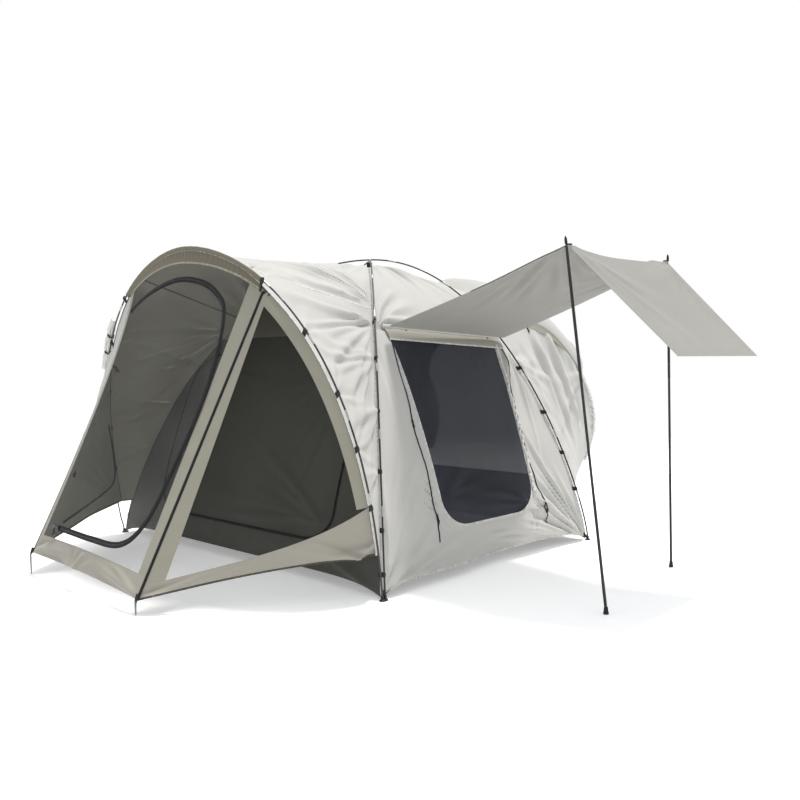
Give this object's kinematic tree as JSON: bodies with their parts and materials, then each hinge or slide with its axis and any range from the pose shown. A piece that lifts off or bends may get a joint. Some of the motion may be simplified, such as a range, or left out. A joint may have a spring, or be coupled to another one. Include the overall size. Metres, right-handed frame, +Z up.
{
  "type": "car tailgate tent",
  "caption": "Pitched tent with a leaning front porch, a square room under crossed poles, a side door raised as an awning and a rear sleeve that closes round a vehicle's tailgate.",
  "frame": {"origin": "on the ground, in the middle of the tent's outline seen from above", "axes": "+Z up, +X towards the awning side, -Y towards the porch front, +Y towards the vehicle sleeve"},
  "size_m": [4.2938, 4.1952, 2.1035],
  "materials": {
    "outer_cloth": "coated plain weave polyester, light warm grey, matt",
    "khaki_cloth": "coated plain weave polyester, khaki, matt",
    "dark_mesh": "fine insect mesh, charcoal",
    "pale_mesh": "fine insect mesh, nearly clear",
    "elastic_rim": "gathered elastic hem",
    "tent_pole": "black glass fibre rod with bare metal joints",
    "awning_pole": "black powder coated steel tube",
    "rubber_foot": "moulded rubber",
    "webbing": "black woven webbing",
    "peg": "steel peg with black webbing",
    "zip": "black coil zip on black tape"
  },
  "bodies": {
    "root": {"awning": "outer_cloth", "awning_foot_front": "rubber_foot", "awning_foot_rear": "rubber_foot", "awning_pole_front": "awning_pole", "awning_pole_rear": "awning_pole", "far_door": "outer_cloth", "far_wall": "outer_cloth", "foot_front_far": "webbing", "foot_front_near": "webbing", "foot_rear_far": "webbing", "foot_rear_near": "webbing", "front_door_zip": "zip", "front_hoop_pole": "tent_pole", "front_mesh_door": "pale_mesh", "front_roof": "outer_cloth", "front_sill": "outer_cloth", "front_strip_far": "khaki_cloth", "front_strip_near": "khaki_cloth", "front_visor": "khaki_cloth", "front_wall": "outer_cloth", "front_wall_top": "outer_cloth", "gusset_far": "outer_cloth", "gusset_near": "outer_cloth", "hub_strap": "webbing", "near_arch_strip": "khaki_cloth", "near_corner_strip": "khaki_cloth", "near_door_mesh": "dark_mesh", "near_sill": "outer_cloth", "near_wall": "outer_cloth", "porch_door": "outer_cloth", "porch_far_wall": "outer_cloth", "porch_peg_far": "peg", "porch_peg_near": "peg", "rear_sill": "outer_cloth", "roof_pole_over": "tent_pole", "roof_pole_under": "tent_pole", "side_roof_far": "outer_cloth", "side_roof_near": "outer_cloth", "sleeve_rim": "elastic_rim", "sleeve_roof": "outer_cloth", "sleeve_side_far": "outer_cloth", "sleeve_side_near": "outer_cloth", "sleeve_trim_far": "khaki_cloth", "sleeve_trim_near": "khaki_cloth", "tied_flap_far": "outer_cloth"}
  },
  "joints": []
}
